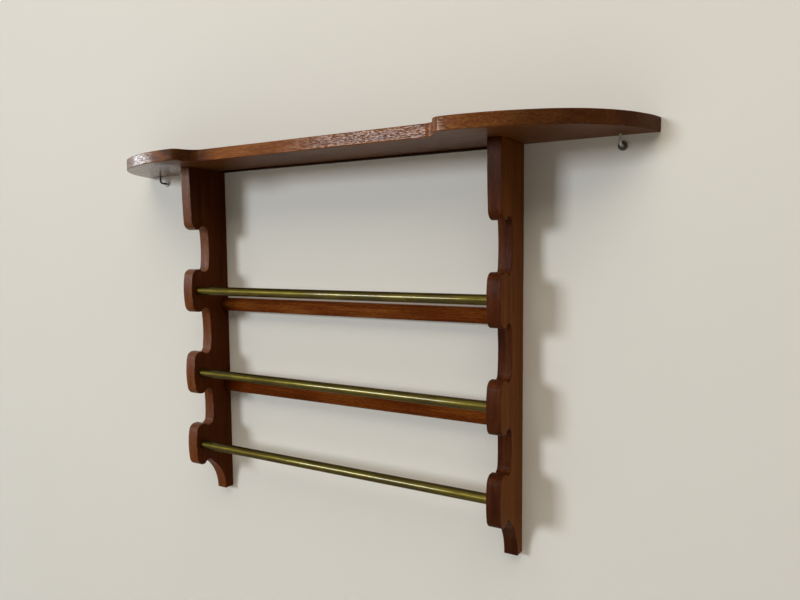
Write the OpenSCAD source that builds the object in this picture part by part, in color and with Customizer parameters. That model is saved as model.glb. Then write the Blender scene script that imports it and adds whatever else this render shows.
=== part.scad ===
// Wall towel rack: a shaped shelf on two scroll-sawn uprights, with three brass rods and two
// rails between them. It hangs on two bent screw hooks that stand up into the shelf.
// Origin: middle of the shelf's back edge, on the wall. X runs along the shelf, Y into the wall.

/* [Shelf] */
// Length of the shelf from tip to tip
shelf_len = 814; // [780:1:880]
// Thickness of the shelf board
shelf_t = 16; // [14:0.5:22]
// Depth of the straight middle of the shelf
shelf_mid_depth = 106; // [102:0.5:115]
// Depth of the shelf at its two lobes
shelf_lobe_depth = 134; // [128:0.5:146]
// Distance from the middle of the shelf to the centre of each shoulder
shoulder_x = 189; // [170:1:205]
// Steepest slope of the shoulder, in degrees
shoulder_slope = 70; // [55:1:80]
// Radius of the hollow where the middle turns into the shoulder
hollow_r = 20; // [14:0.5:24]
// Radius of the crest where the shoulder turns into the lobe
crest_r = 11.5; // [8:0.5:14]
// Radius of the long curve at the front of each lobe
lobe_front_r = 270; // [230:5:320]
// Turn of that long curve before the end curve takes over, in degrees
lobe_front_turn = 26; // [22:1:28]

/* [Uprights] */
// Clear width between the two uprights
inner_w = 470; // [430:1:500]
// Thickness of each upright
upright_t = 18; // [16:0.5:22]
// Depth of the block at the top
block_depth = 73; // [68:0.5:80]
// Height of the block at the top
block_h = 92; // [84:0.5:100]
// Depth of the three lobes at their fullest
lobe_depth = 74.5; // [70:0.5:82]
// Height of the upper and middle lobes
lobe_h = 64.5; // [58:0.5:70]
// Height of the lowest lobe
last_lobe_h = 63; // [58:0.5:68]
// Radius of the rounded corners of the lobes and the block
corner_r = 11.5; // [9:0.5:15]
// Radius of the bowed front of the lobes
lobe_bow_r = 134; // [110:1:200]
// Radius of the nearly straight front of the block
block_bow_r = 1200; // [900:50:2000]
// Depth of the waists at their slimmest
waist_depth = 38.4; // [34:0.2:44]
// Radius of the hollow line of the waists
waist_bow_r = 200; // [170:5:300]
// Radius of the round notch at each end of a waist
notch_r = 8.5; // [7:0.25:9.5]
// How far a notch cuts up behind the lobe above it
notch_rise = 4.9; // [3:0.1:6]
// How far a notch cuts down behind the lobe below it
notch_dip = 3.9; // [2.5:0.1:5]
// Height of the tail below the lowest lobe
tail_h = 52; // [44:0.5:56]
// Depth of the tail at its foot
tail_depth = 16; // [13:0.5:20]
// Radius of the cove above the tail
cove_r = 65; // [58:0.5:72]

/* [Rods] */
// Outer diameter of the brass tubes
rod_d = 12.7; // [10:0.1:14]
// Wall thickness of the brass tubes
rod_wall = 1.2; // [0.8:0.1:2]
// Distance from the axis of a rod to the front of its lobe
rod_setback = 13.5; // [12:0.5:18]
// Drop from the underside of the shelf to the axis of the upper rod
upper_rod_drop = 183; // [176:0.5:190]
// Distance between the upper and middle rods
upper_pitch = 124.5; // [118:0.5:130]
// Distance between the middle and lower rods
lower_pitch = 110.5; // [106:0.5:118]
// Depth of the blind sockets that hold the rods
socket_depth = 9; // [6:0.5:11]
// Radial clearance of a rod in its sockets
rod_clear = 0.07; // [0.04:0.01:0.1]
// End play at each end of a rod
rod_end_gap = 0.5; // [0.3:0.1:1]

/* [Rails] */
// Height of the back rails
rail_h = 19.5; // [17:0.5:26]
// Thickness of the back rails
rail_t = 14; // [12:0.5:18]
// Drop from the axis of the upper rod to the top of the upper rail
upper_rail_drop = 14; // [9:0.5:18]
// Drop from the axis of the middle rod to the top of the lower rail
lower_rail_drop = 16.2; // [12:0.2:20]
// Height of the dark lath under the shelf at the wall
strip_h = 2.2; // [1.5:0.1:4]
// Depth of that lath
strip_depth = 8; // [6:0.5:14]

/* [Dowels] */
// Diameter of the dowels between the shelf and the uprights
shelf_dowel_d = 8; // [6:0.5:9]
// Length of those dowels in the shelf
shelf_dowel_up = 10; // [8:0.5:11]
// Length of those dowels in the uprights
shelf_dowel_down = 20; // [16:0.5:26]
// Distance from the wall to the rear dowel of each upright
shelf_dowel_back = 17; // [12:0.5:22]
// Distance between the two dowels of each upright
shelf_dowel_pitch = 40; // [30:0.5:44]
// Diameter of the dowels in the rails
rail_dowel_d = 6; // [5:0.25:6.5]
// Length of those dowels in the uprights
rail_dowel_out = 10; // [8:0.5:12]
// Length of those dowels in the rails
rail_dowel_in = 16; // [12:0.5:22]
// Distance between the two dowels at each end of a rail
rail_dowel_pitch = 10; // [8.5:0.25:10.5]
// Glue line round a dowel, and the room at each of its ends
glue_gap = 0.05; // [0.03:0.01:0.15]
// Room left at each end of a dowel
dowel_end_gap = 1; // [0.5:0.1:1.5]

/* [Hooks] */
// Distance from each tip of the shelf to the wall hook there
hook_inset = 40; // [34:1:60]
// Drop from the underside of the shelf to the arm of a hook
hook_drop = 11.5; // [9:0.5:20]
// Distance from the wall to the upright leg of a hook
hook_reach = 13; // [11:0.5:18]
// Diameter of the hook wire
wire_d = 3; // [2.4:0.1:4]
// Radius of the bend, at the middle of the wire
bend_r = 4.5; // [3:0.25:6]
// How far the leg stands up into the shelf
leg_in_shelf = 7; // [5:0.5:9]
// Radial clearance of the leg in its socket
leg_clear = 0.2; // [0.1:0.05:0.4]
// Length of the hook's shank in the wall
shank_len = 23; // [18:0.5:25]
// Length of the point of the shank
point_len = 4; // [2.5:0.5:6]
// Outer diameter of the wall plug
plug_d = 7; // [6:0.5:8]
// Length of the wall plug in the wall
plug_len = 28; // [27:0.5:35]
// Length of the tapered nose of the plug
plug_nose = 3; // [2:0.5:5]
// Diameter of the collar of the plug
plug_collar_d = 10.5; // [9:0.5:12]
// Thickness of the collar of the plug
plug_collar_t = 1.2; // [0.8:0.1:2]
// Width of the slit that lets the plug spread
plug_slit = 0.9; // [0.6:0.1:1.2]
// Length of that slit
plug_slit_len = 18; // [12:0.5:20]

/* [Hidden] */
$fn = 64;
wood_red = [0.40, 0.20, 0.11];
wood_dark = [0.34, 0.16, 0.09];
lath_dark = [0.12, 0.07, 0.05];
brass = [0.66, 0.56, 0.26];
steel_grey = [0.45, 0.45, 0.46];
plug_grey = [0.62, 0.61, 0.58];
dowel_pale = [0.82, 0.68, 0.47];

cut = 1;                                  // how far a cutting shape runs past a face
curve_err = 0.02;                         // how far a drawn arc of points may stray
far = 400;                                // reach of the cutting wedges
under = -shelf_t / 2;                     // height of the shelf's underside
rod_y = -(lobe_depth - rod_setback);      // depth of the rod axes
rod_drops = [upper_rod_drop,
             upper_rod_drop + upper_pitch,
             upper_rod_drop + upper_pitch + lower_pitch];
lobe_hs = [lobe_h, lobe_h, last_lobe_h];
pad_bottoms = [-block_h, -rod_drops[0] - lobe_h / 2, -rod_drops[1] - lobe_h / 2];
pad_tops = [for (i = [0:2]) -rod_drops[i] + lobe_hs[i] / 2];
tail_top = -rod_drops[2] - last_lobe_h / 2;
upright_h = tail_h - tail_top;            // height of each upright below the shelf
upper_rail_top = -rod_drops[0] - upper_rail_drop;
lower_rail_top = -rod_drops[1] - lower_rail_drop;
upright_x = inner_w / 2 + upright_t / 2;  // middle of an upright
hook_x = shelf_len / 2 - hook_inset;      // distance from the middle to each hook
hook_leg_z = hook_drop + leg_in_shelf;    // height of the leg above the arm
leg_tip = wire_d / 6;                     // bevel at the tip of the leg

// Points along an arc about c from angle a0 to a1, close enough to stay within curve_err.
function arc_points(c, r, a0, a1) =
    let (n = ceil(abs(a1 - a0) / (2 * acos(1 - curve_err / r))))
    [for (i = [0:n]) let (a = a0 + (a1 - a0) * i / n) c + r * [cos(a), sin(a)]];

// One half of the shelf's front edge, from the middle to the tip, depth counted forwards:
// a straight, a hollow and a crest with a short slope between them at the shoulder, and two
// tangent arcs round the lobe. A step too low for the two radii shrinks them together.
shoulder_rise = shelf_lobe_depth - shelf_mid_depth;
shoulder_fit = min(1, 0.95 * shoulder_rise / ((hollow_r + crest_r) * (1 - cos(shoulder_slope))));
low_r = hollow_r * shoulder_fit;
high_r = crest_r * shoulder_fit;
slope_dy = shoulder_rise - (low_r + high_r) * (1 - cos(shoulder_slope));
slope_dx = slope_dy / tan(shoulder_slope);
shoulder_w = (low_r + high_r) * sin(shoulder_slope) + slope_dx;
hollow_c = [shoulder_x - shoulder_w / 2, shelf_mid_depth + low_r];
crest_c = [shoulder_x + shoulder_w / 2, shelf_lobe_depth - high_r];
front_c = [crest_c[0], shelf_lobe_depth - lobe_front_r];
joint_a = 90 - lobe_front_turn;
joint_p = front_c + lobe_front_r * [cos(joint_a), sin(joint_a)];
tip_dx = shelf_len / 2 - joint_p[0];
tip_r = (tip_dx * tip_dx + joint_p[1] * joint_p[1])
        / (2 * (joint_p[1] * sin(joint_a) - tip_dx * cos(joint_a)));
tip_c = joint_p - tip_r * [cos(joint_a), sin(joint_a)];
tip_a = -asin(tip_c[1] / tip_r);
half_front = concat(arc_points(hollow_c, low_r, -90, -90 + shoulder_slope),
                    arc_points(crest_c, high_r, 90 + shoulder_slope, 90),
                    arc_points(front_c, lobe_front_r, 90, joint_a),
                    arc_points(tip_c, tip_r, joint_a, tip_a));

module shelf_plan() {
    right = [for (p = half_front) [p[0], -p[1]]];
    left = [for (i = [len(right) - 1:-1:0]) [-right[i][0], right[i][1]]];
    polygon(concat(right, left));
}

// A hole drilled from the origin along Z, drawn from just outside the face.
module blind_hole(d, depth) {
    translate([0, 0, -cut]) cylinder(d = d, h = depth + cut);
}

// The hole for one end of a dowel.
module dowel_hole(d, depth) {
    blind_hole(d + 2 * glue_gap, depth + dowel_end_gap);
}

// A pad that stands forward from the wall: two round corners and a bowed front, each
// tangent to the next. It is drawn with depth to the right and its middle at height z.
module pad(z, h, depth, bow_r) {
    half = h / 2 - corner_r;
    bow_c = depth - bow_r;
    corner_c = bow_c + sqrt(pow(bow_r - corner_r, 2) - half * half);
    turn = asin(half / (bow_r - corner_r));
    reach = bow_r * 1.1;
    translate([0, z]) {
        translate([0, -h / 2]) square([corner_c, h]);
        for (s = [-1, 1]) translate([corner_c, s * half]) circle(r = corner_r);
        intersection() {
            translate([bow_c, 0]) circle(r = bow_r, $fn = 360);
            polygon([[bow_c, 0],
                     [bow_c + reach * cos(turn), reach * sin(turn)],
                     [bow_c + reach * cos(turn), -reach * sin(turn)]]);
            translate([0, -h / 2]) square([depth, h]);
        }
    }
}

// The cut between two pads: a hollow line with a round notch tangent to it at each end.
module waist_cut(top, bottom) {
    high = top + notch_rise - notch_r;
    low = bottom - notch_dip + notch_r;
    half = (high - low) / 2;
    bow_c = waist_depth + waist_bow_r;
    notch_c = bow_c - sqrt(pow(waist_bow_r - notch_r, 2) - half * half);
    turn = asin(half / (waist_bow_r - notch_r));
    reach = waist_bow_r * 1.1;
    translate([notch_c, bottom]) square([far, top - bottom]);
    translate([0, (high + low) / 2]) {
        for (s = [-1, 1]) translate([notch_c, s * half]) circle(r = notch_r);
        intersection() {
            translate([bow_c, 0]) circle(r = waist_bow_r, $fn = 360);
            polygon([[bow_c, 0],
                     [bow_c - reach * cos(turn), reach * sin(turn)],
                     [bow_c - reach * cos(turn), -reach * sin(turn)]]);
        }
    }
}

// The cove under the lowest lobe, and the notch that it springs from.
module cove_cut() {
    spring_u = tail_depth + cove_r - sqrt(cove_r * cove_r - tail_h * tail_h);
    notch_half = sqrt(notch_r * notch_r - pow(notch_r - notch_rise, 2));
    translate([spring_u + notch_half, tail_top + notch_rise - notch_r]) circle(r = notch_r);
    intersection() {
        translate([tail_depth + cove_r, -upright_h]) circle(r = cove_r, $fn = 180);
        translate([0, -upright_h - cut]) square([far, tail_h + cut]);
    }
    translate([tail_depth + cove_r, -upright_h - cut]) square([far, tail_h + cut]);
    translate([tail_depth, -upright_h - cut]) square([far, cut]);
}

module upright_profile() {
    difference() {
        union() {
            translate([0, -upright_h]) square([waist_depth + 2 * notch_r, upright_h]);
            intersection() {
                pad(0, 2 * block_h, block_depth, block_bow_r);
                translate([0, -block_h]) square([block_depth, block_h]);
            }
            for (i = [0:2]) pad(-rod_drops[i], lobe_hs[i], lobe_depth, lobe_bow_r);
        }
        for (i = [0:2]) waist_cut(pad_bottoms[i], pad_tops[i]);
        cove_cut();
    }
}

// Height of each dowel of a rail whose top is at top.
function rail_dowel_zs(top) = [for (s = [-1, 1]) top - rail_h / 2 + s * rail_dowel_pitch / 2];

// Depth of each dowel between the shelf and an upright.
shelf_dowel_ys = [-shelf_dowel_back, -shelf_dowel_back - shelf_dowel_pitch];

// An upright on one side of the middle, with all the holes of its inner face and its top.
module upright(side) {
    inner = side * inner_w / 2;
    color(wood_red)
    difference() {
        translate([side * upright_x - upright_t / 2, 0, under]) rotate([90, 0, 90])
            linear_extrude(upright_t) mirror([1, 0]) upright_profile();
        for (drop = rod_drops)
            translate([inner, rod_y, under - drop]) rotate([0, side * 90, 0])
                blind_hole(rod_d + 2 * rod_clear, socket_depth);
        for (top = [upper_rail_top, lower_rail_top], z = rail_dowel_zs(top))
            translate([inner, -rail_t / 2, under + z]) rotate([0, side * 90, 0])
                dowel_hole(rail_dowel_d, rail_dowel_out);
        for (y = shelf_dowel_ys)
            translate([side * upright_x, y, under]) rotate([180, 0, 0])
                dowel_hole(shelf_dowel_d, shelf_dowel_down);
    }
}

module shelf_board() {
    color(wood_dark)
    difference() {
        translate([0, 0, under]) linear_extrude(shelf_t) shelf_plan();
        for (side = [-1, 1], y = shelf_dowel_ys)
            translate([side * upright_x, y, under]) dowel_hole(shelf_dowel_d, shelf_dowel_up);
        for (side = [-1, 1])
            translate([side * hook_x, -hook_reach, under])
                blind_hole(wire_d + 2 * leg_clear, leg_in_shelf);
    }
}

module left_upright() { upright(-1); }
module right_upright() { upright(1); }

module back_rail(top) {
    color(wood_red)
    difference() {
        translate([-inner_w / 2, -rail_t, under + top - rail_h]) cube([inner_w, rail_t, rail_h]);
        for (side = [-1, 1], z = rail_dowel_zs(top))
            translate([side * inner_w / 2, -rail_t / 2, under + z]) rotate([0, -side * 90, 0])
                dowel_hole(rail_dowel_d, rail_dowel_in);
    }
}

module upper_back_rail() { back_rail(upper_rail_top); }
module lower_back_rail() { back_rail(lower_rail_top); }

module wall_strip() {
    color(lath_dark)
    translate([-inner_w / 2, -strip_depth, under - strip_h]) cube([inner_w, strip_depth, strip_h]);
}

module rod(i) {
    half = inner_w / 2 + socket_depth - rod_end_gap;
    color(brass)
    translate([-half, rod_y, under - rod_drops[i]]) rotate([0, 90, 0])
    difference() {
        cylinder(d = rod_d, h = 2 * half);
        translate([0, 0, -cut]) cylinder(d = rod_d - 2 * rod_wall, h = 2 * (half + cut));
    }
}

module upper_rod() { rod(0); }
module middle_rod() { rod(1); }
module lower_rod() { rod(2); }

// A screw hook: pointed shank in the wall, arm out of it, square bend and leg up to the shelf,
// which rests on the tip of the leg.
module wall_hook(side) {
    color(steel_grey)
    translate([side * hook_x, 0, under - hook_drop]) {
        rotate([-90, 0, 0]) {
            translate([0, 0, bend_r - hook_reach])
                cylinder(d = wire_d, h = hook_reach - bend_r + shank_len - point_len);
            translate([0, 0, shank_len - point_len])
                cylinder(d1 = wire_d, d2 = wire_d / 5, h = point_len);
        }
        translate([0, bend_r - hook_reach, bend_r]) rotate([0, 90, 0]) rotate([0, 0, -90])
            rotate_extrude(angle = 90)
                translate([bend_r, 0]) circle(d = wire_d);
        translate([0, -hook_reach, bend_r])
            cylinder(d = wire_d, h = hook_leg_z - bend_r - leg_tip);
        translate([0, -hook_reach, hook_leg_z - leg_tip])
            cylinder(d1 = wire_d, d2 = wire_d - 2 * leg_tip, h = leg_tip);
    }
}

module left_wall_hook() { wall_hook(-1); }
module right_wall_hook() { wall_hook(1); }

// A split plug in the wall with a collar that shows round the hook.
module wall_plug() {
    rotate([-90, 0, 0])
    difference() {
        union() {
            translate([0, 0, -plug_collar_t]) cylinder(d = plug_collar_d, h = plug_collar_t);
            cylinder(d = plug_d, h = plug_len - plug_nose);
            translate([0, 0, plug_len - plug_nose])
                cylinder(d1 = plug_d, d2 = plug_d * 0.6, h = plug_nose);
        }
        translate([0, 0, -plug_collar_t - cut])
            cylinder(d = wire_d + 2 * glue_gap, h = plug_collar_t + cut + shank_len + 0.5);
        translate([-plug_slit / 2, -plug_d, plug_len - plug_slit_len])
            cube([plug_slit, 2 * plug_d, plug_slit_len + cut]);
    }
}

module wall_plugs() {
    color(plug_grey)
    for (side = [-1, 1])
        translate([side * hook_x, 0, under - hook_drop]) wall_plug();
}

module shelf_dowels() {
    color(dowel_pale)
    for (side = [-1, 1], y = shelf_dowel_ys)
        translate([side * upright_x, y, under - shelf_dowel_down])
            cylinder(d = shelf_dowel_d, h = shelf_dowel_down + shelf_dowel_up);
}

module rail_dowels() {
    inner_end = inner_w / 2 - rail_dowel_in;
    color(dowel_pale)
    for (side = [-1, 1], top = [upper_rail_top, lower_rail_top], z = rail_dowel_zs(top))
        translate([side * inner_end, -rail_t / 2, under + z]) rotate([0, side * 90, 0])
            cylinder(d = rail_dowel_d, h = rail_dowel_in + rail_dowel_out);
}

shelf_board();
left_upright();
right_upright();
upper_back_rail();
lower_back_rail();
wall_strip();
upper_rod();
middle_rod();
lower_rod();
left_wall_hook();
right_wall_hook();
wall_plugs();
shelf_dowels();
rail_dowels();
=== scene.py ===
# A wall towel rack: a shaped shelf on two scroll-sawn uprights, three brass tubes and two back
# rails, hung on two bent screw hooks. Shapes are worked out in millimetres in the frame of the CAD,
# and their meshes are in metres.
import math

import bpy
import numpy as np
from mathutils import Matrix, Vector
from mathutils.geometry import delaunay_2d_cdt


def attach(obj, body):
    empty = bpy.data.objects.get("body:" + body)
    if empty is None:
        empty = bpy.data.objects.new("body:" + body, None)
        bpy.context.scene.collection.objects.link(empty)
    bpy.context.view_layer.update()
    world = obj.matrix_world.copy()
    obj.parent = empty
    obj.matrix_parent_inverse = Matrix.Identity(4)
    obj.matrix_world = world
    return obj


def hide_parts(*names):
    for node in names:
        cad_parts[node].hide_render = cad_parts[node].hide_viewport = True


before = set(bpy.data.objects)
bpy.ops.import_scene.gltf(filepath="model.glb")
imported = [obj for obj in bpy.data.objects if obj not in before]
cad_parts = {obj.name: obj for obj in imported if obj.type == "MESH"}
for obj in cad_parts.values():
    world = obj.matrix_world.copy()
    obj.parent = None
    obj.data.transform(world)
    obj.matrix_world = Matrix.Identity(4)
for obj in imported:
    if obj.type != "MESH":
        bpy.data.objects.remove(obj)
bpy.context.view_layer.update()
mm = 0.001
print("frame loaded")

# The camera, fitted to the photograph: its place in metres, its turns in degrees, the focal length
# and the picture's width in pixels, and the sensor's width in millimetres.
cameraFit = {
    "place": (0.526644, -0.771071, -0.133577),
    "yaw": 30.1166,
    "pitch": -4.2455,
    "roll": -0.4677,
    "focalPixels": 663.49,
    "widthPixels": 800,
    "sensor": 36,
    "nearClip": 0.01,
}
# The room, in metres: a pale wall and floor, a warm even glow, a broad window far off at the left
# front, one near the wall at the far left, which shows only as a reflection, and a broad panel
# overhead. Lamps: place, size, power, colour, and whether they light the rack.
room = {
    "wallGap": 0.3 * mm,
    "wallReach": 4.5,
    "wallTop": 2.2,
    "floorDrop": 1.35,
    "lightGap": 1.5 * mm,
    "wallColour": (0.80, 0.785, 0.755),
    "floorColour": (0.72, 0.69, 0.64),
    "glow": (0.115, 0.098, 0.078),
    "backdrop": (0.42, 0.41, 0.39),
    "aim": (0, 0, -0.25),
    "lamps": {
        "window_light": ((-3.65, -6.0, 1.10), (1.70, 1.40), 220.0, (0.94, 1.0, 1.03), True),
        "side_window_light": ((-3.2, -0.62, 0.30), (1.15, 0.6), 34.0, (0.95, 1.0, 1.05), False),
        "overhead_light": ((0.5, -1.7, 1.90), (2.6, 1.8), 38.0, (1.0, 0.91, 0.75), True),
    },
}
# The pieces, in millimetres and degrees.
shelf = {
    "length": 814, "thickness": 16, "middleDepth": 106, "lobeDepth": 134,
    "shoulderX": 189, "shoulderSlope": 70, "hollowR": 20, "crestR": 11.5,
    "lobeFrontR": 270, "lobeFrontTurn": 26, "arris": 1.3, "ease": 1.1, "seed": 3,
}
upright = {
    "innerWidth": 470, "thickness": 18, "blockDepth": 73, "blockHeight": 92,
    "lobeDepth": 74.5, "lobeHeights": (64.5, 64.5, 63), "cornerR": 11.5,
    "lobeBowR": 134, "blockBowR": 1200, "waistDepth": 38.4, "waistBowR": 200,
    "notchR": 8.5, "notchRise": 4.9, "notchDip": 3.9,
    "tailHeight": 52, "tailDepth": 16, "coveR": 65,
    "arris": 1.1, "ease": 0.8, "seed": 11,
}
rod = {
    "diameter": 12.7, "wall": 1.2, "setback": 13.5, "drops": (183, 307.5, 418),
    "socketDepth": 9, "clearance": 0.07, "endGap": 0.5, "rings": 60, "sides": 96,
}
rail = {
    "height": 19.5, "thickness": 14, "drops": (14, 16.2), "arris": 1.5,
    "dowelD": 6.1, "dowelPitch": 10, "dowelIn": 17, "dowelOut": 11,
    "endArris": 0.25, "uneven": 0.1, "seed": 21,
}
strip = {"height": 2.2, "depth": 8, "arris": 0.3, "endArris": 0.2, "uneven": 0.1, "seed": 31}
# The hook's tip and taper: how far a ring lies from the wire's point, and its radius. Its legEnd:
# how far a ring lies below the leg's top, and how much its radius is under the wire's.
hook = {
    "inset": 40, "drop": 11.5, "reach": 13, "wire": 3, "bend": 4.5, "legInShelf": 7,
    "legClear": 0.2, "shank": 23, "point": 4,
    "tip": ((0, 0.15), (0.2, 0.32)), "taper": (0.8, 0.55), "legEnd": ((0.12, 0.22), (0, 0.5)),
    "taperRings": 8, "shankRings": 14, "bendRings": 16, "legRings": 8, "sides": 28,
    "pastTaper": 0.5, "beforeBend": 0.6, "pastBend": 0.8, "beforeEnd": 0.5,
}
dowel = {"diameter": 8.1, "up": 11, "back": 17, "pitch": 40}
# How finely the shapes are drawn, how a board's arrises waver, and how rims are eased: corner is
# the share of the easing at its middle ring, whose normal leans halfway (slant). A face is filled
# inside its outline but for its holes.
craft = {
    "arcStep": 0.35, "shortest": 1e-6, "lineStep": 0.8,
    "barStep": 0.35, "barEase": 0.15, "barArc": 0.12,
    "arrisRings": 6, "pullWidth": 1.5, "uneven": 0.3, "arrisWaves": (5, 60),
    "sawWaver": 0.06, "sawWaves": (4, 30), "sawSeed": 50,
    "holeSides": 48, "rim": 0.25, "corner": 0.3, "slant": 0.707, "insideButHoles": 2, "merge": 1e-7,
}

under = -shelf["thickness"] / 2
rodY = rod["setback"] - upright["lobeDepth"]


# Points along an arc: centre + radius (cos a, sin a), with a going evenly from start to end.
def arc(centre, radius, start, end, step=craft["arcStep"]):
    count = max(3, int(abs(math.radians(end - start)) * radius / step) + 1)
    turn = np.radians(np.linspace(start, end, count))
    return np.column_stack([centre[0] + radius * np.cos(turn), centre[1] + radius * np.sin(turn)])


# A smooth closed wander between -1 and 1: a sum of whole waves round the line, each of amplitude
# 1/sqrt(k) with a phase of its own, divided by its greatest value.
def wander(count, seed, slowest, fastest):
    rng = np.random.default_rng(seed)
    waves = np.arange(slowest, fastest + 1)
    along = np.arange(count)[:, None] / count
    phase = rng.uniform(0, 2 * np.pi, waves.size)
    total = (np.cos(2 * np.pi * along * waves + phase) / np.sqrt(waves)).sum(axis=1)
    return total / np.abs(total).max()


# Values at even steps round a closed line, each averaged with its neighbours under a bell curve.
def blurred(values, spacing, width):
    steps = np.arange(len(values))
    bell = np.exp(-0.5 * (np.minimum(steps, len(values) - steps) * spacing / width) ** 2)
    spread = np.fft.rfft(bell / bell.sum())[:, None]
    return np.fft.irfft(np.fft.rfft(values, axis=0) * spread, n=len(values), axis=0)


# One closed line through all the runs, at even steps, averaged with a bell curve of width ease,
# which rounds its corners and leaves its arcs as they are.
def easedLine(runs, spacing, ease):
    line = np.vstack(runs + [runs[0][:1]])
    hops = np.hypot(*np.diff(line, axis=0).T)
    apart = hops > craft["shortest"]
    line = np.vstack([line[:1], line[1:][apart]])
    along = np.r_[0, np.cumsum(hops[apart])]
    count = int(round(along[-1] / spacing))
    at = np.linspace(0, along[-1], count, endpoint=False)
    even = np.column_stack([np.interp(at, along, line[:, 0]), np.interp(at, along, line[:, 1])])
    return blurred(even, spacing, ease)


# Outward normals of a closed line that runs anticlockwise: its tangent, a quarter turn to the right.
def outward(line):
    ahead = np.roll(line, -1, axis=0) - np.roll(line, 1, axis=0)
    ahead /= np.hypot(*ahead.T)[:, None]
    return np.column_stack([ahead[:, 1], -ahead[:, 0]])


# Quads between neighbouring rings of a grid of rows by columns, closed round each ring.
def ringQuads(first, rows, columns):
    at = first + np.arange(rows * columns).reshape(rows, columns)
    after = np.roll(at, -1, axis=1)
    return np.stack([at[:-1], after[:-1], after[1:], at[1:]], axis=-1).reshape(-1, 4)


# A mesh from points, the normal at each point and faces, with named values at each point.
def makePiece(name, points, normals, quads, triangles, marks=None):
    mesh = bpy.data.meshes.new(name)
    corners = np.concatenate([quads.ravel(), triangles.ravel()]).astype(np.int32)
    starts = np.concatenate([np.arange(len(quads)) * 4,
                             len(quads) * 4 + np.arange(len(triangles)) * 3]).astype(np.int32)
    mesh.vertices.add(len(points))
    mesh.vertices.foreach_set("co", (points * mm).astype(np.float32).ravel())
    mesh.loops.add(len(corners))
    mesh.loops.foreach_set("vertex_index", corners)
    mesh.polygons.add(len(starts))
    mesh.polygons.foreach_set("loop_start", starts)
    mesh.update(calc_edges=True)
    mesh.validate()
    mesh.shade_smooth()
    mesh.normals_split_custom_set_from_vertices(normals.astype(np.float32).tolist())
    for word, values in (marks or {}).items():
        layer = mesh.attributes.new(word, "FLOAT", "POINT")
        layer.data.foreach_set("value", values.astype(np.float32))
    piece = bpy.data.objects.new(name, mesh)
    bpy.context.scene.collection.objects.link(piece)
    return piece


# Rings of a drilled hole, from its eased rim to the middle of its flat end: each row is how far
# the ring lies from the axis, how deep, and how its normal leans (towards the axis, out of the face).
def holeRows(radius, depth):
    rim, slant = craft["rim"], craft["slant"]
    corner = craft["corner"] * rim
    return np.array([
        [radius + rim, 0.0, 0.0, 1.0],
        [radius + corner, corner, slant, slant],
        [radius, rim, 1.0, 0.0],
        [radius, depth - rim, 1.0, 0.0],
        [radius - corner, depth - corner, slant, slant],
        [radius - rim, depth, 0.0, 1.0],
    ])


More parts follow.
